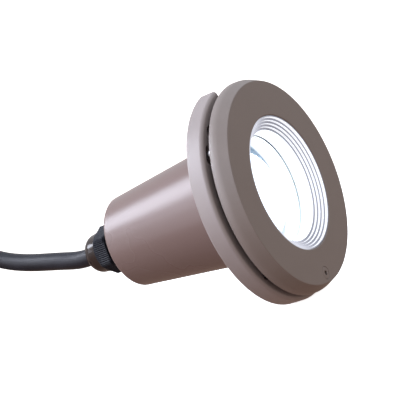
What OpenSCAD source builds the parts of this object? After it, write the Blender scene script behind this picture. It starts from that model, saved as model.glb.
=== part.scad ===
// Small underwater pool light for a round wall opening.
// The light faces -Y. Y = 0 is the wall plane behind the flange, and the housing reaches along +Y.
// Millimetres. Angles round the axis start at +X and pass +Z at 90 degrees.

/* [Front] */
// Outer diameter of the front bezel
bezel_d = 120; // [116:1:122]
// Height of the bezel, from its face to its rear edge
bezel_h = 9.8; // [9:0.1:12]
// Open gap between bezel and flange
gap = 2.9; // [2.8:0.1:4]
// Diameter of the window opening in the bezel
window_d = 75; // [74.8:0.1:76]
// Outer diameter of the wall flange
flange_d = 123.2; // [122:0.2:128]
// Thickness of the wall flange
flange_t = 10.35; // [10.2:0.05:12]

/* [Housing] */
// Length of the conical housing behind the wall plane
housing_l = 86; // [84:1:96]
// Housing diameter at the wall plane
housing_d_front = 71.2; // [70.4:0.2:71.2]
// Housing diameter at its rear end
housing_d_rear = 53.2; // [51.6:0.2:58]
// Wall thickness of the housing
wall = 3; // [2.5:0.1:3.2]

/* [Cable] */
// Diameter of the cable sheath
cable_d = 10.6; // [10:0.1:10.6]
// Distance across the flats of the gland's hexagons
gland_af = 26; // [25:1:26]

/* [Mounting] */
// Pitch circle of the wall screws
wall_screw_pcd = 106; // [105:0.5:107]
// Diameter of the wall screw holes
wall_screw_d = 5.2; // [4.5:0.1:5.5]

/* [Hidden] */
$fn = 96;
e = 0.5; // how far a cutting shape runs past a face

plastic = "#6b5f59";
black = "#1c1c1f";
steel = "#b9bcc0";
brass = "#c9a24b";
ceramic = "#ded8cb";
silicone = "#c8cdd2";

// Front stack, measured along Y
flange_r = flange_d / 2;
flange_y = -flange_t;
bezel_r = bezel_d / 2;
bezel_rear_y = flange_y - gap;
bezel_face_y = bezel_rear_y - bezel_h;
bezel_skin = 3;
bezel_edge_r = 0.5;
bezel_shoulder_r = 8;
taper_w = 3;
taper_h = 6.2;
skirt_t = 2.8;
window_r = window_d / 2;
ring_t = 2.5;
ring_y = flange_y - ring_t;
ring_r = 49.4;
rim_r = 48;
rim_y = flange_y + 0.15;
rim_bottom_y = -2;
seat_y = -3.8;
gasket_t = 1;
glass_t = 3;
glass_r = 37.6;
glass_y = seat_y - gasket_t - glass_t;
glass_view_r = 31.1;
collar_rear_y = glass_y - gasket_t;
collar_r = window_r - 0.4;
collar_front_y = bezel_face_y + 0.65;
collar_shoulder_r = 41;
step_count = 4;
step_size = 1.35;

// Fasteners on the front
ring_screw_r = 44.8;
ring_screw_count = 6;
lock_r = 51.9;
lock_angle = -90;
lock_head_r = 3.4;
lock_head_h = 2.6;
lock_shank_r = 2;
lock_washer_t = 0.8;
stud_angles = [30, 150];
stud_r = 2;
stud_circle_r = 55.4;
stud_pocket_y = -4;
stud_pocket_l = 11;
notch_angle = 17.5;
notch_floor_r = 54;

// Housing
front_r = housing_d_front / 2;
rear_r = housing_d_rear / 2;
mouth_r = front_r - wall - 0.6;
rear_wall = 3.5;
rear_edge = 2;
post_x = 18.6;
post_r = 3.2;
post_y = 53;

// Lamp: 50 mm reflector with two push-in pins
lamp_y = -1;
lamp_r = 25.25;
lamp_neck_r = 9.5;
lamp_bowl_l = 33;
pin_x = 2.65;
pin_r = 0.8;
base_y = lamp_y + lamp_bowl_l;
base_end_y = 43;
holder_y = 43.8;
holder_end_y = 58;
bracket_t = 1.2;
terminal_y = 61;
terminal_end_y = 72;

// Gland
hex_r = gland_af / sqrt(3);
hex_round_r = hex_r - 0.45;
thread_r = 9.9;
washer_y = housing_l;
washer_t = 1.6;
hex_y = washer_y + washer_t;
hex_t = 6;
barrel_y = hex_y + hex_t;
barrel_end_y = barrel_y + 8.5;
barrel_r = 9.5;
barrel_bore_r = 8;
nut_y = barrel_y + 2.8;
nut_hex_l = 8.1;
nut_end_y = nut_y + 20.2;
running_fit = 0.06;
cable_r = cable_d / 2;
nut_hole_r = 5.65;
seal_y = barrel_y + 1;
claw_y = barrel_end_y + 0.5;
sheath_end_y = 78;
core_r = 1.45;
core_x = 2;

// Loose cable: rises a little out of the gland, drops to the floor and winds into a flat coil
floor_z = -flange_r;
coil_x = -7;
coil_y = 312;
coil_turn_step = 10.7;
coil_outer = 64;
coil_inner = 42.6;
tie_t = 0.9;
coil_z = floor_z + tie_t + 0.1;
coil_low_z = coil_z + cable_r;
coil_top_z = coil_low_z + coil_turn_step;
tie_angles = [75, 195, 315];
tail_end_y = 346;
core_tail_l = 22;
ferrule_l = 8;
cable_sides = 12;
cable_route = [
    [0, nut_end_y, 0],
    [0, 120, 0],
    [0, 124, 0.2],
    [0, 128, 0.75],
    [0, 133, 1.85],
    [0, 140, 3.7],
    [0, 150, 6.2],
    [0, 160, 8.8],
    [0, 170, 12],
    [0, 178, 15.2],
    [0, 186, 19.2],
    [1, 196.5, 24],
    [4, 207, 27],
    [8.5, 217, 27.8],
    [13.7, 226.5, 26.4],
    [19.5, 235.5, 22],
    [25.5, 244.5, 14],
    [31.6, 253.5, 2],
    [37.8, 262.5, -12],
    [43.8, 271.5, -25],
    [49.2, 281, -34.8],
    [53.7, 291, -40.6],
    [56.35, 301.5, -43.6],
    [coil_x + coil_outer, coil_y, coil_top_z]
];

// ---- helpers ----

// Turns a shape drawn along Z so that it lies along +Y.
module along_y() {
    rotate([-90, 0, 0])
        children();
}

// Revolves an outline of [radius, y] points round the light's axis.
module revolve(points) {
    along_y()
        rotate_extrude()
            polygon(points);
}

// A round rod or hole parallel to the axis, from y0 to y1.
module rod(r, y0, y1, x = 0, z = 0) {
    translate([x, y0, z])
        along_y()
            cylinder(r = r, h = y1 - y0);
}

// A flat ring round the axis.
module ring(r_out, r_in, y0, y1) {
    difference() {
        rod(r_out, y0, y1);
        rod(r_in, y0 - e, y1 + e);
    }
}

// A box centred in X and Z, from y0 to y1.
module block(w, h, y0, y1, x = 0, z = 0) {
    translate([x - w / 2, y0, z - h / 2])
        cube([w, y1 - y0, h]);
}

// Puts a shape at a radius and an angle round the axis, turned to face outwards.
module at_angle(angle, r) {
    rotate([0, -angle, 0])
        translate([r, 0, 0])
            children();
}

// A hexagon prism with corners rounded off, between y0 and y1.
module hex_prism(y0, y1) {
    intersection() {
        translate([0, y0, 0])
            along_y()
                rotate([0, 0, 30])
                    cylinder(r = hex_r, h = y1 - y0, $fn = 6);
        rod(hex_round_r, y0 - e, y1 + e);
    }
}

// Points of a fillet arc round a centre, as [radius, y].
function arc(cx, cy, r, from, to, steps = 6) =
    [for (i = [0:steps]) let (a = from + (to - from) * i / steps) [cx + r * cos(a), cy + r * sin(a)]];

// ---- wall flange and housing ----

// Sector of the flange rim that is cut away at the top.
module flange_notch() {
    long = 2 * flange_r;
    difference() {
        along_y()
            translate([0, 0, flange_y - e])
                linear_extrude(flange_t + 2 * e)
                    rotate([0, 0, -90])
                        polygon([
                            [0, 0],
                            [long * cos(notch_angle), long * sin(notch_angle)],
                            [long * cos(notch_angle), -long * sin(notch_angle)]
                        ]);
        rod(notch_floor_r, flange_y - 2 * e, 2 * e);
    }
}

// Pocket in the flange that a bezel stud drops into.
module stud_pocket() {
    width = 2 * stud_r + 2;
    run = (stud_pocket_l - width) / 2;
    for (side = [-1, 1])
        rod(width / 2, flange_y - e, stud_pocket_y, z = side * run);
    block(width, 2 * run, flange_y - e, stud_pocket_y);
}

module wall_flange() {
    edge = 1.2;
    front_edge = 2;
    color(plastic)
        difference() {
            revolve(concat(
                [[front_r + 0.3, 0], [front_r + 0.3, rim_bottom_y], [rim_r + 0.3, rim_bottom_y]],
                [[rim_r + 0.3, flange_y]],
                arc(flange_r - front_edge, flange_y + front_edge, front_edge, -90, 0),
                arc(flange_r - edge, -edge, edge, 0, 90)
            ));
            flange_notch();
            for (angle = [45:90:315])
                at_angle(angle, wall_screw_pcd / 2) {
                    rod(wall_screw_d / 2, flange_y - e, e);
                    rod(4.5, flange_y - e, flange_y + 3.5);
                }
            for (angle = stud_angles)
                at_angle(angle, stud_circle_r)
                    stud_pocket();
            at_angle(lock_angle, lock_r)
                rod(3.2, flange_y - e, rim_bottom_y);
        }
}

module housing() {
    inner_rear_r = rear_r - wall;
    color(plastic)
        difference() {
            union() {
                revolve(concat(
                    [[mouth_r, seat_y], [glass_r + 0.9, seat_y], [glass_r + 0.9, collar_rear_y + 0.4]],
                    [[collar_shoulder_r + 0.5, collar_rear_y + 0.4], [collar_shoulder_r + 0.5, rim_y]],
                    [[rim_r, rim_y], [rim_r, rim_bottom_y - 0.1]],
                    [[front_r, rim_bottom_y - 0.1], [front_r, 0]],
                    arc(rear_r - rear_edge, housing_l - rear_edge, rear_edge, 0, 90),
                    [[thread_r + 0.15, housing_l]],
                    [[thread_r + 0.15, housing_l - rear_wall], [inner_rear_r - 1, housing_l - rear_wall]],
                    [[inner_rear_r, housing_l - rear_wall - 1], [mouth_r, 2]]
                ));
                for (side = [-1, 1])
                    rod(post_r, post_y, housing_l - rear_wall + 1, x = side * post_x);
            }
            for (side = [-1, 1])
                rod(1.2, post_y - e, post_y + 12, x = side * post_x);
            for (i = [0:ring_screw_count - 1])
                at_angle(i * 360 / ring_screw_count, ring_screw_r)
                    rod(1.5, rim_y - e, rim_bottom_y - 1.5);
        }
}

// ---- bezel ----

module bezel_shell() {
    inner_skirt_r = window_r + 2.2;
    face_back_y = bezel_face_y + bezel_skin;
    slope = atan2(taper_h, taper_w);
    edge_r = bezel_r - taper_w - bezel_edge_r * tan(slope / 2);
    shoulder_y = bezel_face_y + taper_h + bezel_shoulder_r * tan((90 - slope) / 2);
    revolve(concat(
        [[window_r, bezel_face_y + 0.6], [window_r + 0.6, bezel_face_y]],
        arc(edge_r, bezel_face_y + bezel_edge_r, bezel_edge_r, -90, slope - 90),
        arc(bezel_r - bezel_shoulder_r, shoulder_y, bezel_shoulder_r, slope - 90, 0),
        [[bezel_r, bezel_rear_y - 0.8], [bezel_r - 0.8, bezel_rear_y], [bezel_r - skirt_t, bezel_rear_y]],
        [[bezel_r - skirt_t, face_back_y + 2], [bezel_r - skirt_t - 1.4, face_back_y]],
        [[inner_skirt_r, face_back_y]],
        [[inner_skirt_r, bezel_rear_y - 1], [window_r, bezel_rear_y - 1]]
    ));
}

module bezel() {
    rib_count = 12;
    rib_l = bezel_r - skirt_t + 0.4 - (window_r + 1);
    face_back_y = bezel_face_y + bezel_skin;
    color(plastic)
        difference() {
            union() {
                bezel_shell();
                for (i = [0:rib_count - 1])
                    at_angle((i + 0.5) * 360 / rib_count, window_r + 1 + rib_l / 2)
                        block(rib_l, 1.6, face_back_y - e, face_back_y + 3.4);
                at_angle(lock_angle, lock_r)
                    rod(4.9, face_back_y - e, bezel_rear_y - 0.4);
                for (angle = stud_angles)
                    at_angle(angle, stud_circle_r)
                        rod(2.6, face_back_y - e, bezel_rear_y - 0.4);
            }
            at_angle(lock_angle, lock_r) {
                rod(lock_shank_r + 0.3, bezel_face_y - e, bezel_rear_y + e);
                rod(lock_head_r + 0.1, bezel_face_y - e, bezel_face_y + 0.1 + lock_head_h + lock_washer_t);
            }
            for (angle = stud_angles)
                at_angle(angle, stud_circle_r)
                    rod(1.5, face_back_y, bezel_rear_y + e);
        }
}

// Two stainless shoulder studs screwed into the back of the bezel.
module bezel_studs() {
    tip_y = stud_pocket_y - 0.5;
    shoulder_y = bezel_rear_y + 0.05;
    color(steel)
        for (angle = stud_angles)
            at_angle(angle, stud_circle_r) {
                rod(1.5, bezel_face_y + bezel_skin, shoulder_y + e);
                rod(3, shoulder_y, shoulder_y + 1);
                difference() {
                    rod(stud_r, shoulder_y, tip_y);
                    ring(stud_r + 1, stud_r - 0.5, tip_y - 2.6, tip_y - 1.4);
                }
            }
}

module lock_screw() {
    head_y = bezel_face_y + 0.1;
    under_head_y = head_y + lock_head_h;
    color(plastic)
        at_angle(lock_angle, lock_r)
            difference() {
                union() {
                    rod(lock_head_r, head_y, under_head_y);
                    rod(lock_shank_r, under_head_y - e, rim_bottom_y - 0.3);
                }
                translate([0, head_y - e, 0])
                    along_y()
                        cylinder(r = 1.45, h = 1.6 + e, $fn = 6);
            }
}

module lock_screw_washer() {
    y = bezel_face_y + 0.1 + lock_head_h;
    color(black)
        at_angle(lock_angle, lock_r)
            ring(lock_head_r, lock_shank_r + running_fit, y + 0.02, y + lock_washer_t);
}

module lock_screw_insert() {
    color(brass)
        at_angle(lock_angle, lock_r)
            ring(3.15, lock_shank_r + running_fit, flange_y + 0.1, rim_bottom_y - 0.05);
}

// ---- lens stack ----

module clamp_ring() {
    color(black)
        difference() {
            ring(ring_r, collar_r + 0.6, ring_y, flange_y);
            for (i = [0:ring_screw_count - 1])
                at_angle(i * 360 / ring_screw_count, ring_screw_r)
                    rod(1.8, ring_y - e, flange_y + e);
        }
}

module clamp_ring_screws() {
    head_h = 2;
    color(steel)
        for (i = [0:ring_screw_count - 1])
            at_angle(i * 360 / ring_screw_count, ring_screw_r)
                difference() {
                    union() {
                        rod(2.9, ring_y - head_h, ring_y);
                        rod(1.45, ring_y - e, rim_bottom_y - 2);
                    }
                    block(3.4, 0.8, ring_y - head_h - e, ring_y - head_h + 1);
                    block(0.8, 3.4, ring_y - head_h - e, ring_y - head_h + 1);
                }
}

// Pale collar whose mouth steps inwards to the glass.
module front_collar() {
    lip_r = collar_r - 0.5;
    last_step_r = lip_r - step_count * step_size;
    last_step_y = collar_front_y + step_count * step_size;
    steps = [for (i = [0:step_count - 1]) each [
        [lip_r - i * step_size, collar_front_y + (i + 1) * step_size],
        [lip_r - (i + 1) * step_size, collar_front_y + (i + 1) * step_size]
    ]];
    color("white")
        revolve(concat(
            [[collar_r, collar_front_y], [lip_r, collar_front_y]],
            steps,
            [[last_step_r, last_step_y + 1], [glass_view_r, collar_rear_y]],
            [[collar_shoulder_r, collar_rear_y], [collar_shoulder_r, flange_y + 0.05]],
            [[collar_r, flange_y + 0.05]]
        ));
}

module front_gasket() {
    color(silicone)
        ring(glass_r, glass_view_r, collar_rear_y, glass_y);
}

module lens_glass() {
    chamfer = 0.4;
    rear_y = glass_y + glass_t;
    color("#cfe3ee", 0.4)
        revolve([
            [0, glass_y], [glass_r - chamfer, glass_y], [glass_r, glass_y + chamfer],
            [glass_r, rear_y - chamfer], [glass_r - chamfer, rear_y], [0, rear_y]
        ]);
}

module rear_gasket() {
    color(silicone)
        ring(glass_r, mouth_r + 0.4, glass_y + glass_t, seat_y);
}

// ---- lamp ----

module lamp_reflector() {
    wall_t = 1.3;
    rim_t = 2.6;
    bowl_r = lamp_r - 0.6;
    bowl_y = lamp_y + rim_t;
    depth = lamp_bowl_l - rim_t;
    throat_r = lamp_neck_r - wall_t - 2;
    steps = 10;
    outer = [for (i = [0:steps]) let (s = i / steps)
        [lamp_neck_r + (bowl_r - lamp_neck_r) * sqrt(1 - s), bowl_y + depth * s]];
    inner = [for (i = [steps:-1:0]) let (s = i / steps)
        [throat_r + (bowl_r - wall_t - throat_r) * sqrt(1 - s), bowl_y + (depth - wall_t) * s]];
    color("#d5dade")
        revolve(concat([[lamp_r, lamp_y], [lamp_r, bowl_y]], outer, inner, [[lamp_r - 1.9, lamp_y]]));
}

module lamp_cover_glass() {
    color("#dfeaf0", 0.4)
        rod(lamp_r - 2.1, lamp_y + 0.2, lamp_y + 1.6);
}

module lamp_capsule() {
    color("#fff4d8", 0.6)
        revolve(concat(
            [[0, base_y - 1.2], [4, base_y - 1.2], [4, base_y - 6]],
            arc(0, base_y - 19, 4.6, 50, 0, 5),
            arc(0, base_y - 19, 4.6, 0, -90, 8)
        ));
}

module lamp_base() {
    color(ceramic)
        union() {
            block(14.6, 9.4, base_y, base_end_y);
            rod(lamp_neck_r - 0.4, base_y, base_y + 3);
        }
}

module lamp_pins() {
    color(steel)
        for (side = [-1, 1])
            rod(pin_r, base_end_y, base_end_y + 7, x = side * pin_x);
}

module lamp_holder() {
    color(ceramic)
        difference() {
            union() {
                block(16.6, 9.6, holder_y, holder_end_y);
                block(23, 9.6, holder_y, holder_y + 4);
            }
            for (side = [-1, 1])
                rod(pin_r + 0.1, holder_y - e, holder_y + 9, x = side * pin_x);
        }
}

// Steel strap that holds the lamp holder on the two housing posts.
module holder_bracket() {
    y = post_y - bracket_t;
    color(steel)
        difference() {
            union() {
                block(2 * post_x + 8, 13, y, post_y);
                for (side = [-1, 1])
                    block(1, 9, holder_y + 4, post_y, x = side * 9.4);
            }
            block(17.2, 10, y - e, post_y + e);
            for (side = [-1, 1])
                rod(1.5, y - e, post_y + e, x = side * post_x);
        }
}

module bracket_screws() {
    head_y = post_y - bracket_t - 1.8;
    color(steel)
        for (side = [-1, 1])
            difference() {
                union() {
                    rod(2.6, head_y, post_y - bracket_t, x = side * post_x);
                    rod(1.15, head_y + 1, post_y + 10, x = side * post_x);
                }
                block(3.4, 0.7, head_y - e, head_y + 0.8, x = side * post_x);
            }
}

module lamp_leads() {
    color("#e8e2d2")
        for (side = [-1, 1])
            rod(1, holder_end_y, terminal_y, x = side * 3.5);
}

module terminal_block() {
    pole_x = 3.5;
    color("#e9e7df")
        difference() {
            union() {
                block(15.4, 8.6, terminal_y, terminal_end_y);
                for (side = [-1, 1])
                    rod(3.4, terminal_y + 2, terminal_end_y - 2, x = side * pole_x, z = 2.6);
            }
            for (side = [-1, 1])
                for (y = [terminal_y + 3.2, terminal_end_y - 3.2])
                    translate([side * pole_x, y, 3.3])
                        cylinder(r = 1.7, h = 5);
        }
}

module terminal_screws() {
    color(steel)
        for (side = [-1, 1])
            for (y = [terminal_y + 3.2, terminal_end_y - 3.2])
                translate([side * 3.5, y, 3.3])
                    difference() {
                        cylinder(r = 1.5, h = 1.6);
                        translate([-2, -0.25, 0.9])
                            cube([4, 0.5, 1]);
                    }
}

// ---- gland ----

module gland_washer() {
    color(black)
        ring(14, thread_r + 0.1, washer_y, hex_y);
}

module gland_body() {
    color(black)
        difference() {
            union() {
                rod(thread_r, housing_l - rear_wall - 5, hex_y + e);
                hex_prism(hex_y, barrel_y);
                rod(barrel_r + 0.9, barrel_y - e, nut_y - 0.6);
                rod(barrel_r, barrel_y, barrel_end_y);
            }
            rod(cable_r + 1, housing_l - rear_wall - 5 - e, barrel_end_y);
            rod(barrel_bore_r, seal_y, barrel_end_y + e);
        }
}

module gland_locknut() {
    nut_t = 4.5;
    y0 = housing_l - rear_wall - nut_t;
    color(black)
        difference() {
            hex_prism(y0, housing_l - rear_wall);
            rod(thread_r + 0.05, y0 - e, housing_l);
        }
}

module gland_seal() {
    color("#2c2e31")
        ring(barrel_bore_r - 0.05, cable_r, seal_y, barrel_end_y - 0.2);
}

// Ring of clamping fingers between the seal and the nut.
module gland_claw() {
    slot_w = 0.8;
    tip_y = claw_y + 7.5;
    color(black)
        difference() {
            revolve([
                [cable_r + 0.35, claw_y], [8.6, claw_y], [8.6, claw_y + 1.5],
                [7.1, tip_y], [cable_r + 0.35, tip_y]
            ]);
            for (angle = [0:45:315])
                at_angle(angle, 7)
                    block(6, slot_w, claw_y + 1.5, tip_y + e);
        }
}

module gland_nut() {
    dome_y = nut_y + nut_hex_l;
    dome_r = 12.2;
    cap_r = 7.2;
    thread_end_y = barrel_end_y + 0.8;
    color(black)
        difference() {
            union() {
                intersection() {
                    hex_prism(nut_y, dome_y + 2);
                    revolve([
                        [0, nut_y], [hex_round_r - 0.9, nut_y], [hex_round_r, nut_y + 1],
                        [hex_round_r, dome_y - 0.6], [dome_r, dome_y + 1.4], [0, dome_y + 1.4]
                    ]);
                }
                revolve(concat(
                    [[0, dome_y], [dome_r - 0.1, dome_y], [dome_r - 0.6, nut_end_y - cap_r]],
                    arc(dome_r - 0.6 - cap_r, nut_end_y - cap_r, cap_r, 0, 70, 8),
                    [[nut_hole_r + 0.6, nut_end_y], [0, nut_end_y]]
                ));
            }
            rod(nut_hole_r, nut_y - e, nut_end_y + e);
            rod(barrel_r + running_fit, nut_y - e, thread_end_y);
            revolve([
                [0, thread_end_y - e], [9.1, thread_end_y - e], [9.1, claw_y + 1.7],
                [7.5, claw_y + 8], [0, claw_y + 8]
            ]);
        }
}

// ---- cable ----

module cable_entry() {
    color(black)
        rod(cable_r, sheath_end_y, nut_end_y);
}

module cable_cores() {
    cores = [[-core_x, "#6b3f25"], [core_x, "#2f5fa8"]];
    for (core = cores)
        color(core[1])
            rod(core_r, terminal_end_y, sheath_end_y, x = core[0]);
}

// Unit vector along a route at point i.
function heading(path, i) =
    let (
        last = len(path) - 1,
        step = path[min(i + 1, last)] - path[max(i - 1, 0)]
    )
    step / norm(step);

// Round tube swept along a route whose tangent never points along X.
module tube(path, r, sides) {
    count = len(path);
    rings = [for (i = [0:count - 1])
        let (
            along = heading(path, i),
            across = cross([1, 0, 0], along),
            v = across / norm(across),
            u = cross(along, v)
        )
        for (k = [0:sides - 1]) path[i] + r * (cos(k * 360 / sides) * u + sin(k * 360 / sides) * v)];
    sides_faces = [for (i = [0:count - 2], k = [0:sides - 1])
        let (next = (k + 1) % sides)
        [i * sides + k, i * sides + next, (i + 1) * sides + next, (i + 1) * sides + k]];
    caps = [
        [for (k = [sides - 1:-1:0]) k],
        [for (k = [0:sides - 1]) (count - 1) * sides + k]
    ];
    polyhedron(points = rings, faces = concat(sides_faces, caps));
}

module cable() {
    color(black)
        tube(cable_route, cable_r, cable_sides);
}

module cable_coil() {
    corner = 3;
    low = coil_z;
    high = coil_top_z + cable_r;
    inner = coil_inner - cable_r;
    outer = coil_outer + cable_r;
    color(black)
        translate([coil_x, coil_y, 0])
            rotate_extrude()
                polygon([
                    [inner + corner, low], [outer - corner, low], [outer, low + corner],
                    [outer, high - corner], [outer - corner, high], [inner + corner, high],
                    [inner, high - corner], [inner, low + corner]
                ]);
}

module coil_ties() {
    band_w = 4;
    margin = 0.1;
    inner_w = coil_outer - coil_inner + cable_d + 2 * margin;
    inner_h = coil_turn_step + cable_d + 2 * margin;
    mid_r = (coil_outer + coil_inner) / 2;
    mid_z = (coil_low_z + coil_top_z) / 2;
    color("#e6e6e2")
        translate([coil_x, coil_y, mid_z])
            for (angle = tie_angles)
                rotate([0, 0, angle])
                    translate([mid_r, 0, 0])
                        difference() {
                            cube([inner_w + 2 * tie_t, band_w, inner_h + 2 * tie_t], center = true);
                            cube([inner_w, band_w + 2 * e, inner_h], center = true);
                        }
}

module cable_tail() {
    color(black)
        rod(cable_r, coil_y, tail_end_y, x = coil_x + coil_outer, z = coil_low_z);
}

// Places a shape at each of the two bare cores at the cable's far end.
module at_tail_cores() {
    for (side = [-1, 1])
        translate([coil_x + coil_outer + side * core_x, 0, coil_low_z])
            children();
}

module tail_cores() {
    color("#6b3f25")
        at_tail_cores()
            rod(core_r, tail_end_y, tail_end_y + core_tail_l);
}

module tail_ferrules() {
    color(steel)
        at_tail_cores() {
            rod(1.7, tail_end_y + core_tail_l, tail_end_y + core_tail_l + 2);
            rod(0.9, tail_end_y + core_tail_l + 1, tail_end_y + core_tail_l + ferrule_l);
        }
}

wall_flange();
housing();
bezel();
bezel_studs();
lock_screw();
lock_screw_washer();
lock_screw_insert();
clamp_ring();
clamp_ring_screws();
front_collar();
front_gasket();
lens_glass();
rear_gasket();
lamp_reflector();
lamp_cover_glass();
lamp_capsule();
lamp_base();
lamp_pins();
lamp_holder();
holder_bracket();
bracket_screws();
lamp_leads();
terminal_block();
terminal_screws();
cable_cores();
gland_washer();
gland_body();
gland_locknut();
gland_seal();
gland_claw();
gland_nut();
cable_entry();
cable();
cable_coil();
coil_ties();
cable_tail();
tail_cores();
tail_ferrules();
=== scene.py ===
"""Looks for a small underwater pool light with a lit lamp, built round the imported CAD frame.

The light hangs in a wall that isn't shown: +Y into the wall, +Z up. It shines towards -Y.
Outlines are in millimetres as [radius, y] and are scaled by MM when they become meshes.
"""

import math

import bmesh
import bpy
from mathutils import Euler, Matrix, Vector


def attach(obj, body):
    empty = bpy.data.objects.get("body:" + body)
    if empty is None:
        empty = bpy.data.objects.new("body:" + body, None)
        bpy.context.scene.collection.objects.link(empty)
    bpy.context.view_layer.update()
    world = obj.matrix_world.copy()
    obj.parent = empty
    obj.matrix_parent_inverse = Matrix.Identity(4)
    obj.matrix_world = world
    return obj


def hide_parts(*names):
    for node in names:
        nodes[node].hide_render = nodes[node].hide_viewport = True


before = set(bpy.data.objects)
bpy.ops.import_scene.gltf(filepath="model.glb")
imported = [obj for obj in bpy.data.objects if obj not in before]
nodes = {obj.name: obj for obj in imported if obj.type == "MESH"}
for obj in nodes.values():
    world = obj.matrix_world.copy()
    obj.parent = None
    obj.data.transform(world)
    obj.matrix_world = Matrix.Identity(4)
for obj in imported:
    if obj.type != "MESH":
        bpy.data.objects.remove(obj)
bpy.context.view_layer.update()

MM = 0.001
TURN = 2 * math.pi
scene = bpy.context.scene


# ---- camera ----

def add_camera():
    """Camera at the height of the light, to its front left, and rolled to one side."""
    position = (-0.6127, -0.3431, 0.0115)
    tilt, roll, heading = 89.254, 21.142, -58.851
    data = bpy.data.cameras.new("camera")
    data.sensor_width = 36
    data.lens = 112.8
    data.clip_start = 0.01
    data.clip_end = 50
    camera = bpy.data.objects.new("camera", data)
    scene.collection.objects.link(camera)
    turn = Euler([math.radians(a) for a in (tilt, roll, heading)])
    camera.matrix_world = Matrix.LocRotScale(position, turn, None)
    scene.camera = camera


# ---- mesh helpers ----

def polar(r, degrees):
    """(x, z) of a point at a radius and an angle round the axis, 0 at +X and 90 at +Z."""
    a = math.radians(degrees)
    return r * math.cos(a), r * math.sin(a)


def rounded(corners, steps=5):
    """Closed outline from corners of (r, y) or (r, y, fillet radius)."""
    points = []
    count = len(corners)
    for i, corner in enumerate(corners):
        here = Vector(corner[:2])
        radius = corner[2] if len(corner) > 2 else 0
        if radius == 0:
            points.append(here)
            continue
        before = (Vector(corners[i - 1][:2]) - here).normalized()
        after = (Vector(corners[(i + 1) % count][:2]) - here).normalized()
        half = before.angle(after) / 2
        centre = here + (before + after).normalized() * radius / math.sin(half)
        start = here + before * radius / math.tan(half) - centre
        end = here + after * radius / math.tan(half) - centre
        a = math.atan2(start.y, start.x)
        sweep = (math.atan2(end.y, end.x) - a + math.pi) % TURN - math.pi
        for k in range(steps + 1):
            b = a + sweep * k / steps
            points.append(centre + radius * Vector((math.cos(b), math.sin(b))))
    return points


def arc(r, y, radius, start, end, steps=10):
    """Points of an arc in an outline, by its centre, radius and angles in degrees."""
    angles = [math.radians(start + (end - start) * k / steps) for k in range(steps + 1)]
    return [(r + radius * math.cos(a), y + radius * math.sin(a)) for a in angles]


def new_object(name, bm, sharp=32):
    """Object from a bmesh, with smooth shading and hard edges above an angle in degrees."""
    bmesh.ops.remove_doubles(bm, verts=bm.verts, dist=1e-7)
    bmesh.ops.recalc_face_normals(bm, faces=bm.faces)
    mesh = bpy.data.meshes.new(name)
    bm.to_mesh(mesh)
    bm.free()
    soften(mesh, sharp)
    obj = bpy.data.objects.new(name, mesh)
    scene.collection.objects.link(obj)
    return obj


def soften(mesh, sharp=32):
    mesh.shade_smooth()
    mesh.set_sharp_from_angle(angle=math.radians(sharp))


def lathe(name, outline, segments=192, at=(0, 0), radius_at=None, zone=None, sharp=32):
    """Turns a closed outline round the axis, or round a line parallel to it through at.

    radius_at(angle, r, y) may change a radius, and zone(a, b) gives a stretch its material index.
    """
    bm = bmesh.new()
    columns = []
    for k in range(segments):
        angle = TURN * k / segments
        column = []
        for r, y in outline:
            if radius_at:
                r = radius_at(angle, r, y)
            x = at[0] + r * math.cos(angle)
            z = at[1] + r * math.sin(angle)
            column.append(bm.verts.new((x * MM, y * MM, z * MM)))
        columns.append(column)
    count = len(outline)
    for k in range(segments):
        one, two = columns[k], columns[(k + 1) % segments]
        for j in range(count):
            i = (j + 1) % count
            if outline[j][0] < 1e-6 and outline[i][0] < 1e-6:
                continue
            face = bm.faces.new((one[j], one[i], two[i], two[j]))
            if zone:
                face.material_index = zone(outline[j], outline[i])
    bmesh.ops.dissolve_degenerate(bm, dist=1e-8, edges=bm.edges)
    return new_object(name, bm, sharp)


def prism(name, outline, y0, y1):
    """Extrudes a closed outline of (x, z) points along Y."""
    bm = bmesh.new()
    front = [bm.verts.new((x * MM, y0 * MM, z * MM)) for x, z in outline]
    rear = [bm.verts.new((x * MM, y1 * MM, z * MM)) for x, z in outline]
    bm.faces.new(front)
    bm.faces.new(rear)
    for i in range(len(outline)):
        j = (i + 1) % len(outline)
        bm.faces.new((front[i], front[j], rear[j], rear[i]))
    return new_object(name, bm)


def radial_box(name, r0, r1, width, y0, y1, degrees):
    """Box that reaches from r0 to r1 in one direction round the axis."""
    corners = [(r0, -width / 2), (r1, -width / 2), (r1, width / 2), (r0, width / 2)]
    a = math.radians(degrees)
    turned = [(u * math.cos(a) - v * math.sin(a), u * math.sin(a) + v * math.cos(a)) for u, v in corners]
    return prism(name, turned, y0, y1)


def hole(r, y0, y1, at, chamfer=0.0):
    """Cutter for a round hole that starts at y0, with a chamfer there."""
    outline = [(0, y0 - 1), (r + chamfer, y0 - 1), (r + chamfer, y0), (r, y0 + chamfer), (r, y1), (0, y1)]
    return lathe("hole", outline, 48, at)


def freeze(obj):
    """Puts the result of an object's modifiers into its mesh."""
    graph = bpy.context.evaluated_depsgraph_get()
    mesh = bpy.data.meshes.new_from_object(obj.evaluated_get(graph))
    obj.modifiers.clear()
    obj.data = mesh
    mesh.name = obj.name


def combine(obj, others, operation):
    """Joins other closed shapes to an object (UNION) or cuts them out of it (DIFFERENCE)."""
    group = bpy.data.collections.new("cutters")
    for other in others:
        group.objects.link(other)
    modifier = obj.modifiers.new("shape", "BOOLEAN")
    modifier.operation = operation
    modifier.operand_type = "COLLECTION"
    modifier.collection = group
    modifier.solver = "EXACT"
    freeze(obj)
    soften(obj.data)
    for other in others:
        bpy.data.objects.remove(other)
    bpy.data.collections.remove(group)


def paint(obj, *materials):
    """Gives a piece its materials, in the order of its faces' material indices."""
    for material in materials:
        obj.data.materials.append(material)
    return obj


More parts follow.
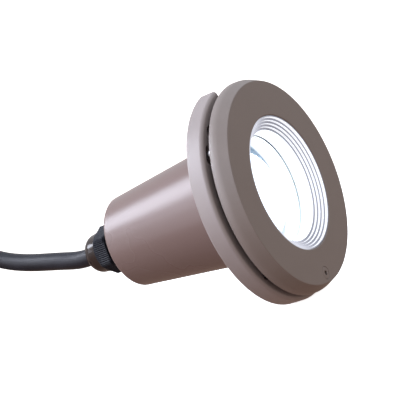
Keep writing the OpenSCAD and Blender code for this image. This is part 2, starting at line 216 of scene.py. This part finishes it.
def finish_piece(obj, slot, *replaced, body="light_body"):
    """Even shading, the CAD nodes that a piece stands for and its body. The slot argument is not used."""
    normals = obj.modifiers.new("even_normals", "WEIGHTED_NORMAL")
    normals.keep_sharp = True
    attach(obj, body)
    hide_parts(*replaced)
    return obj


# ---- materials ----

def link(material, source, target):
    material.node_tree.links.new(source, target)


def split_axes(tree, coordinates="Object"):
    """Node with the X, Y and Z of a coordinate as its outputs."""
    place = tree.nodes.new("ShaderNodeTexCoord")
    axes = tree.nodes.new("ShaderNodeSeparateXYZ")
    tree.links.new(place.outputs[coordinates], axes.inputs["Vector"])
    return axes


def surface(name, color, roughness, spread=0.06, patch=60, rough_spread=0.05,
            bump=0.02, grain=1800, stretch=(1, 1, 1), **sockets):
    """Principled material whose colour and roughness drift and whose grain is a fine bump.

    patch and grain are noise scales in features per metre; stretch flattens both along an axis.
    """
    material = bpy.data.materials.new(name)
    material.use_nodes = True
    tree = material.node_tree
    shader = tree.nodes["Principled BSDF"]
    for socket, value in sockets.items():
        shader.inputs[socket.replace("_", " ")].default_value = value
    place = tree.nodes.new("ShaderNodeTexCoord")
    mapping = tree.nodes.new("ShaderNodeMapping")
    mapping.inputs["Scale"].default_value = stretch
    link(material, place.outputs["Object"], mapping.inputs["Vector"])

    drift = tree.nodes.new("ShaderNodeTexNoise")
    drift.inputs["Scale"].default_value = patch
    drift.inputs["Detail"].default_value = 2
    link(material, mapping.outputs["Vector"], drift.inputs["Vector"])
    ramp = tree.nodes.new("ShaderNodeValToRGB")
    ramp.color_ramp.elements[0].position = 0.2
    ramp.color_ramp.elements[1].position = 0.8
    for element, factor in zip(ramp.color_ramp.elements, (1 - spread, 1 + spread)):
        element.color = (*[min(1, c * factor) for c in color], 1)
    link(material, drift.outputs["Fac"], ramp.inputs["Fac"])
    link(material, ramp.outputs["Color"], shader.inputs["Base Color"])

    polish = tree.nodes.new("ShaderNodeMapRange")
    polish.inputs["From Min"].default_value = 0.2
    polish.inputs["From Max"].default_value = 0.8
    polish.inputs["To Min"].default_value = max(0, roughness - rough_spread)
    polish.inputs["To Max"].default_value = roughness + rough_spread
    link(material, drift.outputs["Fac"], polish.inputs["Value"])
    link(material, polish.outputs["Result"], shader.inputs["Roughness"])

    fine = tree.nodes.new("ShaderNodeTexNoise")
    fine.inputs["Scale"].default_value = grain
    fine.inputs["Detail"].default_value = 3
    link(material, mapping.outputs["Vector"], fine.inputs["Vector"])
    relief = tree.nodes.new("ShaderNodeBump")
    relief.inputs["Strength"].default_value = bump
    relief.inputs["Distance"].default_value = 0.0005
    link(material, fine.outputs["Fac"], relief.inputs["Height"])
    link(material, relief.outputs["Normal"], shader.inputs["Normal"])
    return material


def glow(material, color, strength):
    """Makes a material shine evenly."""
    shader = material.node_tree.nodes["Principled BSDF"]
    shader.inputs["Emission Color"].default_value = (*color, 1)
    shader.inputs["Emission Strength"].default_value = strength
    return material


def lamp_lit(material, dim, bright, *fades):
    """Painted light that the lamp throws on a piece, as its own emission, uneven along the axes; the dim
    colour is painted shade.

    Each fade is (axis, where it is dim, where it is bright), in metres. The brightest one counts.
    """
    tree = material.node_tree
    shader = tree.nodes["Principled BSDF"]
    shader.inputs["Emission Strength"].default_value = 1
    axes = split_axes(tree)
    shares = []
    for axis, dim_at, bright_at in fades:
        fade = tree.nodes.new("ShaderNodeMapRange")
        fade.interpolation_type = "SMOOTHSTEP"
        fade.inputs["From Min"].default_value = dim_at
        fade.inputs["From Max"].default_value = bright_at
        link(material, axes.outputs[axis], fade.inputs["Value"])
        shares.append(fade.outputs["Result"])
    lit = shares[0]
    for share in shares[1:]:
        brighter = tree.nodes.new("ShaderNodeMath")
        brighter.operation = "MAXIMUM"
        link(material, lit, brighter.inputs[0])
        link(material, share, brighter.inputs[1])
        lit = brighter.outputs["Value"]
    mix = tree.nodes.new("ShaderNodeMix")
    mix.data_type = "RGBA"
    mix.inputs["A"].default_value = (*dim, 1)
    mix.inputs["B"].default_value = (*bright, 1)
    link(material, lit, mix.inputs["Factor"])
    link(material, mix.outputs["Result"], shader.inputs["Emission Color"])
    return material


def two_cores(name, left, right, split_x):
    """Insulation of two cores side by side, with one colour on each side of split_x."""
    material = surface(name, left, 0.35, bump=0.1)
    tree = material.node_tree
    shader = tree.nodes["Principled BSDF"]
    left_color = shader.inputs["Base Color"].links[0].from_socket
    axes = split_axes(tree)
    side = tree.nodes.new("ShaderNodeMath")
    side.operation = "GREATER_THAN"
    side.inputs[1].default_value = split_x
    mix = tree.nodes.new("ShaderNodeMix")
    mix.data_type = "RGBA"
    mix.inputs["B"].default_value = (*right, 1)
    link(material, axes.outputs["X"], side.inputs[0])
    link(material, side.outputs["Value"], mix.inputs["Factor"])
    link(material, left_color, mix.inputs["A"])
    link(material, mix.outputs["Result"], shader.inputs["Base Color"])
    return material


BROWN = (0.12, 0.045, 0.02)
BLUE = (0.02, 0.09, 0.3)
TAIL_X = 0.057

housing_plastic = surface("housing_gloss", (0.19, 0.134, 0.122), 0.28, spread=0.025, patch=25,
                          rough_spread=0.02, bump=0.02, grain=900)
bezel_plastic = surface("bezel_satin", (0.222, 0.188, 0.172), 0.42, bump=0.1, grain=2600,
                        Specular_IOR_Level=0.75)
# The flange is made of the bezel's plastic; its lighter colour here is a painted sheen.
flange_plastic_painted_sheen = surface("flange_satin_painted_sheen", (0.305, 0.267, 0.26), 0.42, bump=0.1, grain=2600,
                         Specular_IOR_Level=0.75)
black_nylon = surface("black_nylon", (0.012, 0.014, 0.02), 0.45, spread=0.25, bump=0.15, grain=2200,
                      Specular_IOR_Level=0.15)
polished_nylon = surface("polished_nylon", (0.02, 0.012, 0.01), 0.11, spread=0.25, bump=0.02, grain=900)
black_rubber = surface("black_rubber", (0.012, 0.012, 0.014), 0.6, spread=0.2, bump=0.2, grain=1500)
cable_rubber = surface("cable_rubber", (0.018, 0.019, 0.026), 0.42, spread=0.25, patch=90,
                       rough_spread=0.08, bump=0.2, grain=1300, Specular_IOR_Level=0.32)
steel = surface("stainless", (0.6, 0.6, 0.61), 0.28, patch=300, bump=0.08, stretch=(1, 12, 1), Metallic=1.0)
brass = surface("brass", (0.72, 0.53, 0.25), 0.3, patch=300, bump=0.06, Metallic=1.0)

# These shine by themselves, because the lamp's light isn't calculated through the glass: the glow on the
# pieces round the lamp is painted light, and their dim colours are painted shade.
# The collar's treads get a darker copy of its pale plastic as painted shade, and painted lamp light
# brightens them towards -X.
shaded_collar_tread = lamp_lit(surface("shaded_collar_tread", (0.15, 0.155, 0.19), 0.4, bump=0.05),
                        (0.13, 0.14, 0.17), (0.6, 0.62, 0.7), ("X", 0.01, -0.016))
collar_lit = glow(surface("collar_lit", (0.4, 0.42, 0.47), 0.35), (0.93, 0.95, 1.0), 0.85)
# The front gasket's edge is dark blue-grey, partly its own colour and partly painted shade, and painted
# lamp light brightens it towards +X and downwards.
silicone = lamp_lit(surface("silicone", (0.05, 0.07, 0.1), 0.35), (0, 0.01, 0.02), (0.75, 0.9, 0.95),
                    ("X", 0.018, 0.045), ("Z", 0.01, -0.03))
lit_silicone = glow(surface("lit_silicone", (0.5, 0.55, 0.6), 0.35), (1, 1, 1), 1.4)
# The mirror facets glow with painted lamp glare, dimmed to a blue-grey painted shade at the front upper
# left.
mirror = lamp_lit(surface("dichroic_mirror_painted_glare", (0.8, 0.86, 0.95), 0.15, patch=200, Metallic=1.0),
                  (0.2, 0.38, 0.6), (1.76, 1.9, 2.0), ("X", 0.014, 0.028), ("Y", 0.0042, 0.0085),
                  ("Z", 0.006, -0.006))
# The bowl's rim and back glow with painted lamp light, dimmed to a blue-grey painted shade towards the
# upper left.
lit_reflector_back = lamp_lit(surface("reflector_glass", (0.25, 0.32, 0.4), 0.2, Coat_Weight=0.3),
                          (0.05, 0.12, 0.2), (1.1, 1.15, 1.2), ("X", 0.016, 0.026), ("Z", 0.01, -0.02))
filament_glass = glow(surface("capsule_glass", (1, 0.97, 0.9), 0.1), (1.0, 0.98, 0.94), 8.0)
# The housing's inside wall glows with painted lamp light near the mouth and low down; where it is both
# deeper in and in the upper half it is dimmed to a blue-grey painted shade.
inside_lit = lamp_lit(surface("lit_inside", (0.2, 0.22, 0.25), 0.5), (0.06, 0.14, 0.22), (1.3, 1.38, 1.45),
                      ("Y", 0.0048, 0.0022), ("Z", 0, -0.055))

clear_glass = surface("clear_glass", (0.97, 0.99, 1.0), 0.02, spread=0.01, rough_spread=0.01,
                      bump=0.005, grain=400, Transmission_Weight=1.0, IOR=1.3)
ceramic = surface("ceramic", (0.78, 0.75, 0.68), 0.55, bump=0.3, grain=1400)
terminal_white = surface("terminal_plastic", (0.75, 0.74, 0.7), 0.4, bump=0.1)
sleeve = surface("glass_sleeve", (0.78, 0.75, 0.66), 0.7, bump=0.4, grain=1900, stretch=(1, 3, 1))
inner_cores = two_cores("inner_core_insulation", BROWN, BLUE, 0)
tail_insulation = two_cores("tail_core_insulation", BROWN, BLUE, TAIL_X)
tie_nylon = surface("tie_nylon", (0.72, 0.72, 0.66), 0.35, bump=0.08, Transmission_Weight=0.15)


# ---- cord ----

CORD_D = 0.0106
COIL_CENTRE = Vector((-0.007, 0.312))
COIL_OUTER = 0.064
COIL_STEP = 0.0107
COIL_TOP = -0.0446
COIL_LOW = COIL_TOP - COIL_STEP
COIL_TURNS = 2
TIE_ANGLES = (75, 195, 315)
TAIL_END_Y = 0.346
CORD_EXIT = (0, 0.1166, 0)
ROUTE = [
    CORD_EXIT, (0, 0.120, 0), (0, 0.124, 0.0002), (0, 0.128, 0.00075), (0, 0.133, 0.00185),
    (0, 0.140, 0.0037), (0, 0.150, 0.0062), (0, 0.160, 0.0088), (0, 0.170, 0.012),
    (0, 0.178, 0.0152), (0, 0.186, 0.0192), (0.001, 0.1965, 0.024), (0.004, 0.207, 0.027),
    (0.0085, 0.217, 0.0278), (0.0137, 0.2265, 0.0264), (0.0195, 0.2355, 0.022),
    (0.0255, 0.2445, 0.014), (0.0316, 0.2535, 0.002), (0.0378, 0.2625, -0.012),
    (0.0438, 0.2715, -0.025), (0.0492, 0.281, -0.0348), (0.0537, 0.291, -0.0406),
    (0.05635, 0.3015, -0.0436),
]


def coil_radius(degrees):
    """Radius of the cord's centreline, wound inwards on the top layer and outwards on the bottom one."""
    inward = min(degrees, 2 * COIL_TURNS * 360 - degrees)
    return COIL_OUTER - COIL_STEP * inward / 360


def coil_height(degrees):
    """Height of the cord's centreline, which drops one layer at the inner turn."""
    drop = 160
    share = (degrees - COIL_TURNS * 360 + drop / 2) / drop
    share = max(0, min(1, share))
    share = share * share * (3 - 2 * share)
    return COIL_TOP + (COIL_LOW - COIL_TOP) * share


def coil_point(degrees):
    a = math.radians(degrees)
    r = coil_radius(degrees)
    return (COIL_CENTRE.x + r * math.cos(a), COIL_CENTRE.y + r * math.sin(a), coil_height(degrees))


def cord_points():
    step = 15
    coil = [coil_point(d) for d in range(0, 2 * COIL_TURNS * 360 + 1, step)]
    x, y, z = coil[-1]
    tail = [(x, y + (TAIL_END_Y - y) * share, z) for share in (0.33, 0.67, 1)]
    return ROUTE + coil + tail


def add_cord():
    """The whole lead as one round curve: out of the gland, down, and round the coil."""
    points = cord_points()
    data = bpy.data.curves.new("supply_cord", "CURVE")
    data.dimensions = "3D"
    data.bevel_depth = CORD_D / 2
    data.bevel_resolution = 7
    data.resolution_u = 5
    data.use_fill_caps = True
    spline = data.splines.new("BEZIER")
    spline.bezier_points.add(len(points) - 1)
    for knot, point in zip(spline.bezier_points, points):
        knot.co = point
        knot.handle_left_type = "AUTO"
        knot.handle_right_type = "AUTO"
    cord = bpy.data.objects.new("supply_cord", data)
    scene.collection.objects.link(cord)
    data.materials.append(cable_rubber)
    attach(cord, "light_body")
    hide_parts("cable", "cable_coil", "cable_tail")
    return cord


def add_tie(number, degrees):
    """Cable tie pulled tight round the turns that cross one direction of the coil."""
    turns = [degrees + 360 * k for k in range(2 * COIL_TURNS)]
    centres = [Vector((coil_radius(d), coil_height(d))) for d in turns]
    slack = CORD_D / 2 + 0.00005
    thick = 0.0009
    half_width = 0.002
    head_size = (0.005, 0.0062, 0.0042)
    head_rise = 0.0022
    steps = 64
    a = math.radians(degrees)
    outwards = Vector((math.cos(a), math.sin(a), 0))
    along = Vector((-math.sin(a), math.cos(a), 0))
    origin = Vector((COIL_CENTRE.x, COIL_CENTRE.y, 0))
    bm = bmesh.new()
    rings = []
    for k in range(steps):
        b = TURN * k / steps
        normal = Vector((math.cos(b), math.sin(b)))
        hub = max(centres, key=lambda c: c.dot(normal))
        ring = []
        for reach, side in ((slack, -1), (slack + thick, -1), (slack + thick, 1), (slack, 1)):
            point = hub + normal * reach
            place = origin + outwards * point.x + Vector((0, 0, point.y)) + along * side * half_width
            ring.append(bm.verts.new(place))
        rings.append(ring)
    for k in range(steps):
        one, two = rings[k], rings[(k + 1) % steps]
        for j in range(4):
            bm.faces.new((one[j], one[(j + 1) % 4], two[(j + 1) % 4], two[j]))
    top = max(c.y for c in centres)
    inner = min(c.x for c in centres if c.y > top - 0.001)
    head_at = origin + outwards * inner + Vector((0, 0, top + slack + head_rise))
    frame_of_head = Matrix((outwards, along, Vector((0, 0, 1)))).transposed().to_4x4()
    made = bmesh.ops.create_cube(bm, size=1)
    size = Matrix.Diagonal((*head_size, 1))
    bmesh.ops.transform(bm, matrix=Matrix.Translation(head_at) @ frame_of_head @ size, verts=made["verts"])
    tie = new_object(f"coil_tie_{number}", bm)
    edges = tie.modifiers.new("round_edges", "BEVEL")
    edges.width = 0.0003
    edges.segments = 2
    edges.limit_method = "ANGLE"
    edges.angle_limit = math.radians(40)
    paint(tie, tie_nylon)
    return finish_piece(tie, "tie_nylon", "coil_ties")


# ---- plastic mouldings ----

BEZEL_FACE = -23.05
BEZEL_REAR = -13.25
BEZEL_R = 60
WINDOW_R = 37.5
FLANGE_FACE = -10.35
FLANGE_R = 61.6
HOUSING_FACE = -10.2
HOUSING_REAR = 86
LOCK_AT = polar(51.9, -90)
LOCK_HEAD_R = 3.4
STUD_CIRCLE_R = 55.4
STUD_ANGLES = (30, 150)
STUDS_AT = [polar(STUD_CIRCLE_R, a) for a in STUD_ANGLES]
RING_SCREWS_AT = [polar(44.8, 60 * k) for k in range(6)]
WALL_SCREWS_AT = [polar(53, 45 + 90 * k) for k in range(4)]


def add_bezel():
    """Trim ring: a shell that is open at the rear, with ribs and pillars inside."""
    inner_face = BEZEL_FACE + 3
    hub_r = 39.7
    hub_rear = BEZEL_REAR - 1
    skirt_r = 57.2
    outline = rounded([
        (WINDOW_R, BEZEL_FACE, 0.6), (57, BEZEL_FACE, 0.5), (BEZEL_R, BEZEL_FACE + 6.2, 8),
        (BEZEL_R, BEZEL_REAR, 0.8), (skirt_r, BEZEL_REAR, 0.4), (skirt_r, inner_face + 2),
        (skirt_r - 1.4, inner_face), (hub_r, inner_face, 0.6), (hub_r, hub_rear, 0.3),
        (WINDOW_R, hub_rear, 0.3),
    ], 8)
    bezel = paint(lathe("bezel_moulding", outline, 256), bezel_plastic)
    foot = inner_face - 0.5
    rib_end = inner_face + 3.4
    ribs = []
    for k in range(12):
        ribs.append(radial_box("rib", hub_r - 0.7, skirt_r + 0.4, 1.6, foot, rib_end, 15 + 30 * k))
    pillar_end = BEZEL_REAR - 0.4
    pillars = []
    for r, at in [(4.9, LOCK_AT)] + [(2.6, at) for at in STUDS_AT]:
        side = rounded([(0, foot), (r, foot), (r, pillar_end, 0.3), (0, pillar_end)])
        pillars.append(lathe("pillar", side, 48, at))
    combine(bezel, ribs + pillars, "UNION")
    bores = [
        hole(LOCK_HEAD_R + 0.1, BEZEL_FACE, BEZEL_FACE + 3.55, LOCK_AT, 0.15),
        hole(2.3, BEZEL_FACE + 2, BEZEL_REAR + 1, LOCK_AT),
    ]
    bores += [hole(1.5, inner_face + 1, BEZEL_REAR + 1, at) for at in STUDS_AT]
    combine(bezel, bores, "DIFFERENCE")
    finish_piece(bezel, "bezel_plastic", "bezel", body="bezel")


def notch_cutter():
    """Cutter for the sector missing from the flange's rim at the top."""
    half = 17.5
    floor_r = 54
    floor = [polar(floor_r, 90 + half - 2 * half * k / 8) for k in range(9)]
    floor[0] = (*floor[0], 1.0)
    floor[-1] = (*floor[-1], 1.0)
    outer = [polar(FLANGE_R + 10, 90 + side * half) for side in (-1, 0, 1)]
    return prism("notch", rounded(floor + outer), FLANGE_FACE - 1, 1)


def slot_cutter(degrees):
    """Cutter for the pocket that a bezel stud drops into, longer round the axis than across."""
    half_w, half_l, corner_r = 3, 5.5, 2.9
    corners = [(u * half_w, v * half_l, corner_r) for u, v in ((-1, -1), (1, -1), (1, 1), (-1, 1))]
    a = math.radians(degrees)
    x, z = polar(STUD_CIRCLE_R, degrees)
    outline = []
    for u, v in rounded(corners):
        outline.append((x + u * math.cos(a) - v * math.sin(a), z + u * math.sin(a) + v * math.cos(a)))
    return prism("pocket", outline, FLANGE_FACE - 1, -4)


def add_flange():
    """Disc against the wall, with a recess in its front that takes the housing's rim."""
    bore_r = 35.9
    recess_r = 48.3
    recess_y = -2
    outline = rounded([
        (bore_r, 0, 0.3), (bore_r, recess_y), (recess_r, recess_y), (recess_r, FLANGE_FACE, 0.3),
        (FLANGE_R, FLANGE_FACE, 2), (FLANGE_R, 0, 1.2),
    ], 6)
    flange = paint(lathe("flange_moulding", outline, 256), flange_plastic_painted_sheen)
    cutters = [notch_cutter()] + [slot_cutter(a) for a in STUD_ANGLES]
    cutters.append(hole(3.2, FLANGE_FACE, -2, LOCK_AT, 0.2))
    for at in WALL_SCREWS_AT:
        cutters.append(hole(2.6, FLANGE_FACE, 1, at))
        cutters.append(hole(4.5, FLANGE_FACE, FLANGE_FACE + 3.5, at, 0.3))
    combine(flange, cutters, "DIFFERENCE")
    finish_piece(flange, "bezel_plastic", "wall_flange")


def add_housing():
    """Tapered body with the seat for the lenses in front and two posts for the bracket inside."""
    rear_wall = HOUSING_REAR - 3.5
    mouth = 32
    rim_r = 48
    lens_seat_r = 38.5
    lens_seat = -3.8
    ring_seat_r = 41.5
    ring_seat = -8.4
    gland_bore_r = 10.05
    post_r = 3.2
    post_face = 53
    posts_at = [(18.6, 0), (-18.6, 0)]

    def zone(a, b):
        """1 for the inside wall, which the lamp lights."""
        low, high = min(a[1], b[1]), max(a[1], b[1])
        inside = max(a[0], b[0]) < mouth + 0.2 and low > lens_seat - 0.1 and high < rear_wall + 0.1
        return 1 if inside and high - low > 1 else 0

    outline = rounded([
        (mouth, lens_seat), (lens_seat_r, lens_seat), (lens_seat_r, ring_seat), (ring_seat_r, ring_seat),
        (ring_seat_r, HOUSING_FACE), (rim_r, HOUSING_FACE, 0.3), (rim_r, -2.1), (35.6, -2.1), (35.6, 0),
        (26.6, HOUSING_REAR, 2), (gland_bore_r, HOUSING_REAR), (gland_bore_r, rear_wall),
        (23.6, rear_wall, 1), (mouth, 2, 0.3),
    ], 8)
    housing = paint(lathe("housing_moulding", outline, 256, zone=zone), housing_plastic, inside_lit)
    post = [(0, post_face), (post_r, post_face), (post_r, rear_wall + 1.5), (0, rear_wall + 1.5)]
    combine(housing, [lathe("post", post, 48, at) for at in posts_at], "UNION")
    bores = [hole(1.2, post_face, post_face + 12, at) for at in posts_at]
    bores += [hole(1.5, HOUSING_FACE, -3.5, at) for at in RING_SCREWS_AT]
    combine(housing, bores, "DIFFERENCE")
    finish_piece(housing, "housing_plastic", "housing")


def add_collar():
    """Pale collar whose mouth steps inwards to the glass."""
    front = BEZEL_FACE + 0.65
    tube_r = 37.3
    base_r = 41
    base_front = FLANGE_FACE + 0.05
    base_rear = -8.8
    step = 1.35
    lip = 36.6
    steps = []
    for k in range(4):
        steps.append((lip - k * step, front + (k + 1) * step, 0.12))
        steps.append((lip - (k + 1) * step, front + (k + 1) * step, 0.12))

    def zone(a, b):
        """1 for the walls that face the axis, which the lamp lights."""
        faces_axis = max(a[0], b[0]) < lip + 0.2 and abs(a[1] - b[1]) > abs(a[0] - b[0])
        return 1 if faces_axis else 0

    outline = rounded(
        [(tube_r, front - 0.35), (lip, front - 0.35, 0.12)] + steps
        + [(31.1, base_rear), (base_r, base_rear), (base_r, base_front), (tube_r, base_front)], 3)
    collar = paint(lathe("stepped_collar", outline, 256, zone=zone), shaded_collar_tread, collar_lit)
    finish_piece(collar, "white_plastic", "front_collar")


def add_lock_screw():
    head = BEZEL_FACE + 0.1
    under = head + 2.6
    tip = -2.3
    outline = rounded([
        (0, head), (LOCK_HEAD_R, head, 0.25), (LOCK_HEAD_R, under, 0.15), (2, under), (2, tip, 0.4),
        (0, tip),
    ])
    screw = paint(lathe("lock_screw_turned", outline, 64, LOCK_AT), bezel_plastic)
    socket = [(LOCK_AT[0] + x, LOCK_AT[1] + z) for x, z in [polar(1.45, 60 * k) for k in range(6)]]
    combine(screw, [prism("socket", socket, head - 1, head + 1.6)], "DIFFERENCE")
    finish_piece(screw, "bezel_plastic", "lock_screw", body="lock_screw")


# ---- lamp ----

def add_reflector():
    """Bowl of a 50 mm lamp, with flat mirror facets inside."""
    rim_r = 25.25
    rim_y = -1
    bowl_y = 1.6
    depth = 30.4
    mirror_depth = depth - 1.3
    steps = 10
    shares = [k / steps for k in range(steps + 1)]

    def outer_r(share):
        return 9.5 + 15.15 * math.sqrt(1 - share)

    def mirror_r(share):
        return 6.2 + 17.15 * math.sqrt(1 - share)

    def zone(a, b):
        """1 for the mirror side of the bowl, which runs back to the front."""
        share = max(0, min(1, (a[1] - bowl_y) / mirror_depth))
        return 1 if a[1] > bowl_y - 0.1 and a[0] < mirror_r(share) + 0.1 and b[1] < a[1] else 0

    outer = [(outer_r(s), bowl_y + depth * s) for s in shares]
    inner = [(mirror_r(s), bowl_y + mirror_depth * s) for s in reversed(shares)]
    outline = [(rim_r, rim_y), (rim_r, bowl_y)] + outer + inner + [(rim_r - 1.9, rim_y)]
    reflector = lathe("lamp_bowl", outline, 48, zone=zone, sharp=4)
    paint(reflector, lit_reflector_back, mirror)
    finish_piece(reflector, "reflector", "lamp_reflector")


# ---- gland ----

WASHER_END = 87.6
GLAND_HEX_END = 93.6
NUT_START = 96.4
HEX_FLAT = 13.0
HEX_CORNER = 14.56


def hexagon(angle):
    """(radius of the hexagon, distance from the middle of its flat) in one direction."""
    off = (angle + math.pi / 6) % (math.pi / 3) - math.pi / 6
    return min(HEX_CORNER, HEX_FLAT / math.cos(off)), HEX_FLAT * math.tan(off)


def add_gland_nut():
    """Cap nut with a finely ribbed hexagon and a polished dome."""
    hex_end = NUT_START + 8.1
    dome_end = NUT_START + 20.2
    thread_end = NUT_START + 6.5
    rib_pitch = 1.15
    rib_depth = 0.35

    def radius_at(angle, r, y):
        if r < 12.3 or y > hex_end + 1:
            return r
        limit, across = hexagon(angle)
        from_end = min(y - NUT_START, hex_end - y)
        fade = max(0, min(1, from_end / 1.2))
        rib = 0.5 - 0.5 * math.cos(TURN * across / rib_pitch)
        return min(r, limit - rib_depth * rib * fade)

    def zone(a, b):
        """1 for the polished dome."""
        return 1 if min(a[1], b[1]) > hex_end + 1.3 else 0

    hex_side = [(HEX_CORNER, NUT_START + 0.9 + (hex_end - NUT_START - 1.5) * k / 8) for k in range(9)]
    outline = (
        [(9.76, NUT_START), (13.4, NUT_START)]
        + hex_side
        + [(12.25, hex_end + 1.4), (12.1, hex_end + 1.6), (11.6, dome_end - 7.2)]
        + arc(4.4, dome_end - 7.2, 7.2, 8, 70, 9)
        + arc(6.25, dome_end - 0.6, 0.6, 80, 180, 4)
        + [(5.65, dome_end - 6), (7.5, dome_end - 6), (9.1, NUT_START + 7.9), (9.1, thread_end)]
        + [(9.56, thread_end), (9.56, NUT_START + 0.2)]
    )
    nut = lathe("gland_cap_nut", outline, 480, radius_at=radius_at, zone=zone, sharp=40)
    paint(nut, black_nylon, polished_nylon)
    finish_piece(nut, "black_nylon", "gland_nut", body="gland_nut")


def add_gland_body():
    """Fixed hexagon with a thread for the cap nut on its end."""
    start = HOUSING_REAR - 8.5
    hex_start = WASHER_END
    hex_end = GLAND_HEX_END
    thread_start = hex_end + 2.4
    thread_end = hex_end + 8.5
    seal_seat = hex_end + 1
    pitch = 1.5
    thread_depth = 0.55

    def radius_at(angle, r, y):
        if r > 12 and hex_start - 0.1 < y < hex_end + 0.1:
            return min(r, hexagon(angle)[0])
        if 9 < r < 9.6 and y > thread_start - 0.1:
            phase = (y / pitch - angle / TURN) % 1
            return r - thread_depth * abs(2 * phase - 1)
        return r

    rings = [(9.5, thread_start + (thread_end - 0.6 - thread_start) * k / 44) for k in range(45)]
    outline = [
        (6.3, start), (9.9, start), (9.9, hex_start), (13.4, hex_start), (HEX_CORNER, hex_start + 0.8),
        (HEX_CORNER, hex_end - 0.8), (13.4, hex_end), (10.4, hex_end), (10.4, hex_end + 2),
    ]
    outline += rings + [(8.9, thread_end), (8, thread_end), (8, seal_seat), (6.3, seal_seat)]
    body = lathe("gland_hexagon", outline, 240, radius_at=radius_at, sharp=40)
    paint(body, black_nylon)
    finish_piece(body, "black_nylon", "gland_body")


# ---- CAD nodes that stay ----

KEPT = {
    "bezel_studs": steel, "lock_screw_washer": black_rubber, "lock_screw_insert": brass,
    "clamp_ring": black_nylon, "clamp_ring_screws": steel, "front_gasket": silicone,
    "lens_glass": clear_glass, "rear_gasket": lit_silicone, "lamp_cover_glass": clear_glass,
    "lamp_capsule": filament_glass, "lamp_base": ceramic, "lamp_pins": steel, "lamp_holder": ceramic,
    "holder_bracket": steel, "bracket_screws": steel, "lamp_leads": sleeve,
    "terminal_block": terminal_white, "terminal_screws": steel, "cable_cores": inner_cores,
    "gland_washer": black_rubber, "gland_locknut": black_nylon, "gland_seal": black_rubber,
    "gland_claw": black_nylon, "cable_entry": cable_rubber, "tail_cores": tail_insulation,
    "tail_ferrules": steel,
}


def paint_kept_nodes():
    for name, material in KEPT.items():
        mesh = nodes[name].data
        mesh.materials.clear()
        mesh.materials.append(material)


# ---- stage ----

FLOOR_Z = -FLANGE_R * MM


def emitter(name, color, strength):
    material = bpy.data.materials.new(name)
    material.use_nodes = True
    shader = material.node_tree.nodes["Principled BSDF"]
    shader.inputs["Base Color"].default_value = (*color, 1)
    shader.inputs["Roughness"].default_value = 0.9
    return glow(material, color, strength)


def add_stage():
    """Pale floor and a white surround that only the camera sees."""
    floor_r = 3
    dome_r = 6
    bm = bmesh.new()
    bmesh.ops.create_circle(bm, cap_ends=True, segments=96, radius=floor_r)
    floor = new_object("floor", bm)
    floor.location.z = FLOOR_Z
    floor.data.materials.append(emitter("floor_white", (0.9, 0.9, 0.9), 1.0))
    bm = bmesh.new()
    bmesh.ops.create_uvsphere(bm, u_segments=64, v_segments=32, radius=dome_r)
    dome = new_object("backdrop", bm)
    dome.data.materials.append(emitter("backdrop_white", (1, 1, 1), 1.0))
    for o in (floor, dome):
        o.visible_shadow = False
        o.visible_diffuse = False
        o.visible_glossy = False
    dome.visible_transmission = False


def add_light(name, position, target, size, power, color):
    data = bpy.data.lights.new(name, "AREA")
    data.shape = "RECTANGLE"
    data.size, data.size_y = size
    data.energy = power
    data.color = color
    light = bpy.data.objects.new(name, data)
    scene.collection.objects.link(light)
    light.location = position
    light.rotation_euler = (Vector(target) - Vector(position)).to_track_quat("-Z", "Y").to_euler()


def add_sky():
    """World light that is cool from above and warm and weak from below."""
    world = bpy.data.worlds.new("studio")
    world.use_nodes = True
    tree = world.node_tree
    axes = split_axes(tree, "Generated")
    height = tree.nodes.new("ShaderNodeMapRange")
    height.inputs["From Min"].default_value = -1
    ramp = tree.nodes.new("ShaderNodeValToRGB")
    ramp.color_ramp.elements.new(0.45)
    ramp.color_ramp.elements.new(0.6)
    colors = [(0.28, 0.16, 0.12), (0.5, 0.38, 0.33), (0.8, 0.79, 0.8), (0.88, 0.92, 1.0)]
    for element, color in zip(ramp.color_ramp.elements, colors):
        element.color = (*color, 1)
    tree.links.new(axes.outputs["Z"], height.inputs["Value"])
    tree.links.new(height.outputs["Result"], ramp.inputs["Fac"])
    tree.links.new(ramp.outputs["Color"], tree.nodes["Background"].inputs["Color"])
    tree.nodes["Background"].inputs["Strength"].default_value = 0.9
    scene.world = world


def add_lights():
    middle = (-0.02, 0.05, 0)
    add_light("rear_softbox", (-0.35, 0.87, 0.84), middle, (0.52, 0.52), 9.2, (0.84, 0.88, 1.0))
    add_light("side_softbox", (-1.02, 1.02, 0.9), middle, (1.0, 1.0), 5.5, (0.86, 0.87, 1.0))
    add_light("wide_softbox", (-1.45, 0.5, 0.65), middle, (2.1, 2.1), 22, (0.85, 0.87, 1.0))
    add_sky()
    scene.view_settings.view_transform = "Standard"


# ---- build ----

add_camera()
cord = add_cord()
ties = [add_tie(k + 1, degrees) for k, degrees in enumerate(TIE_ANGLES)]
add_stage()
add_lights()
add_bezel()
add_flange()
add_housing()
add_collar()
add_lock_screw()
add_reflector()
add_gland_nut()
add_gland_body()
paint_kept_nodes()
